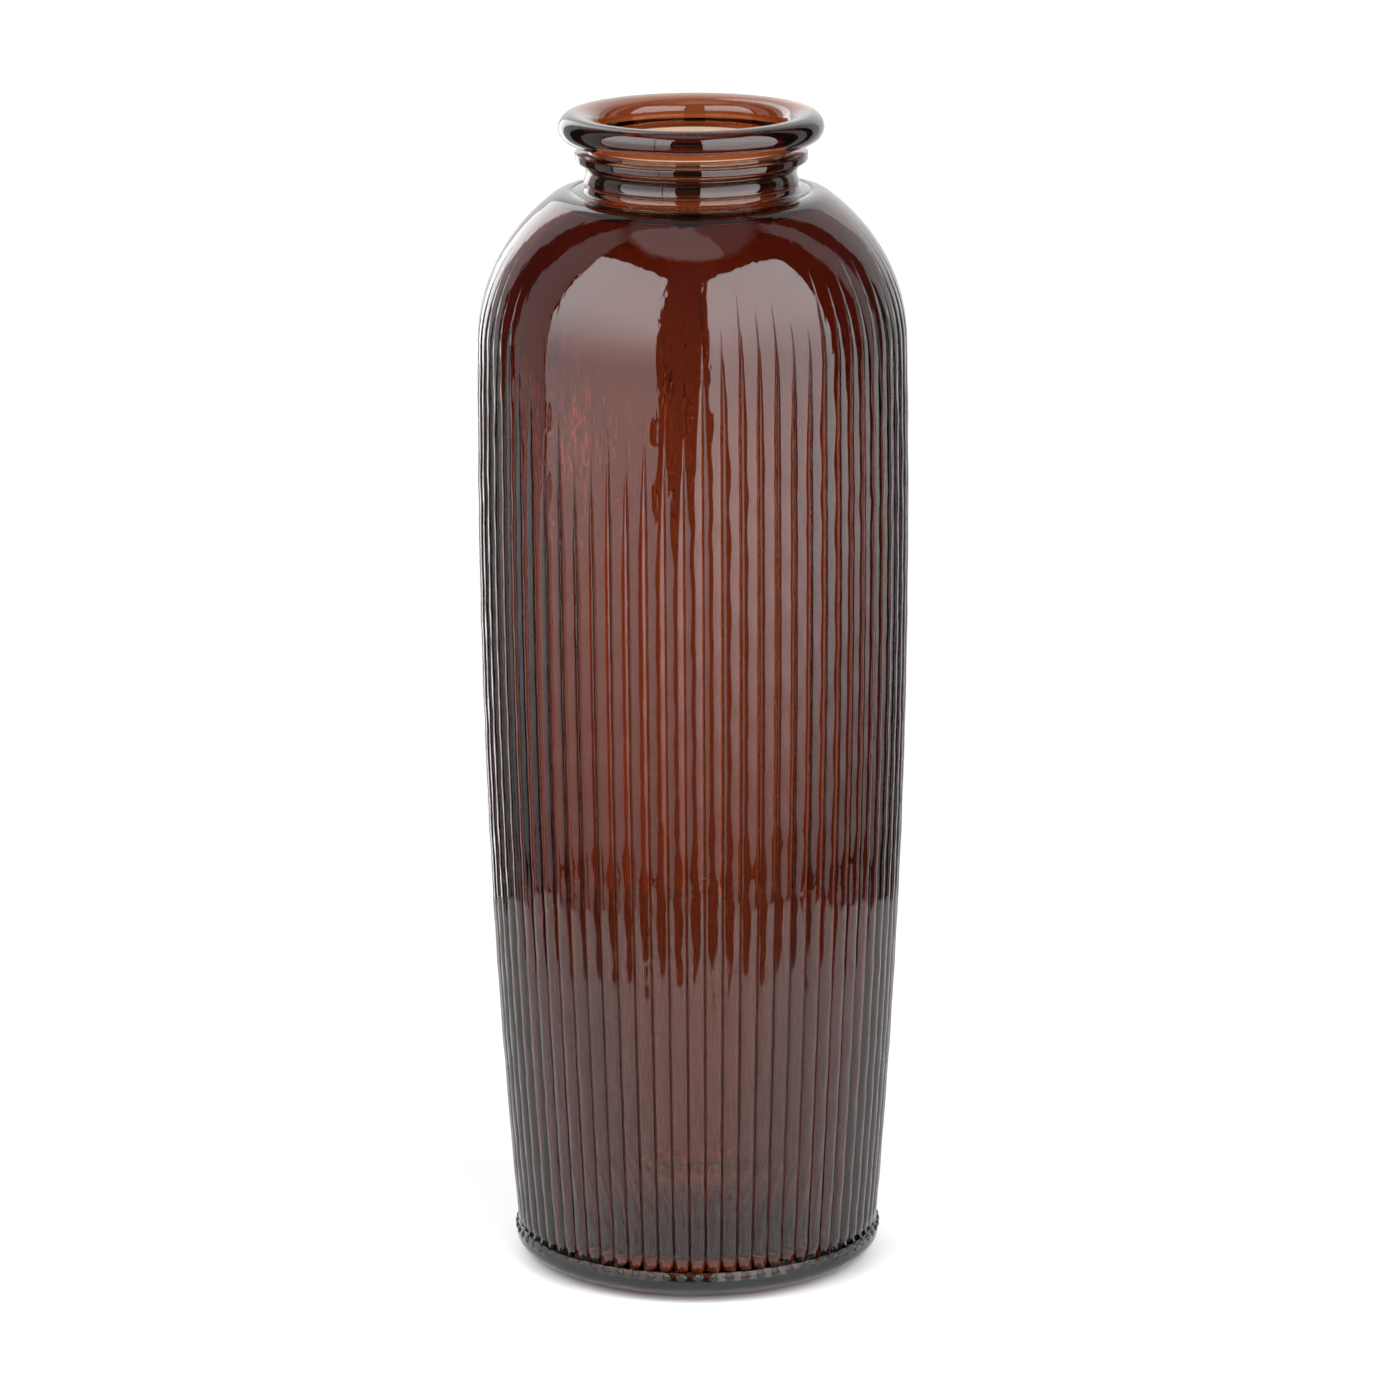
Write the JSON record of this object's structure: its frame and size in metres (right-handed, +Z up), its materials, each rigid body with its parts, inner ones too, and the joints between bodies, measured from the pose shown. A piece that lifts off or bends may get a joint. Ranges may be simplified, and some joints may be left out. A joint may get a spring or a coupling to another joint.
{
  "type": "ribbed glass vase",
  "caption": "Tall barrel-shaped glass vase with fine vertical ribs, a smooth domed shoulder, a ringed neck with a rolled lip, and a row of beads above a rounded heel.",
  "frame": {"origin": "centre of the ring that the vase stands on, at the standing surface", "axes": "+Z up along the vase's axis of symmetry; the vase is round, so X and Y are any two level directions, and -Y faces the viewer"},
  "size_m": [0.1832, 0.1832, 0.5],
  "materials": {
    "glass_lip": "fire-polished transparent amber-brown glass",
    "glass_neck": "transparent amber-brown glass, moulded",
    "glass_body": "transparent amber-brown glass, moulded with fine vertical ribs",
    "glass_foot": "transparent amber-brown glass, thick at the base"
  },
  "bodies": {
    "root": {"lip": "glass_lip", "throat": "glass_neck", "collar_ring": "glass_neck", "collar_band": "glass_neck", "shoulder": "glass_body", "ribbed_body": "glass_body", "beaded_band": "glass_foot", "heel": "glass_foot", "base": "glass_foot"}
  },
  "joints": []
}
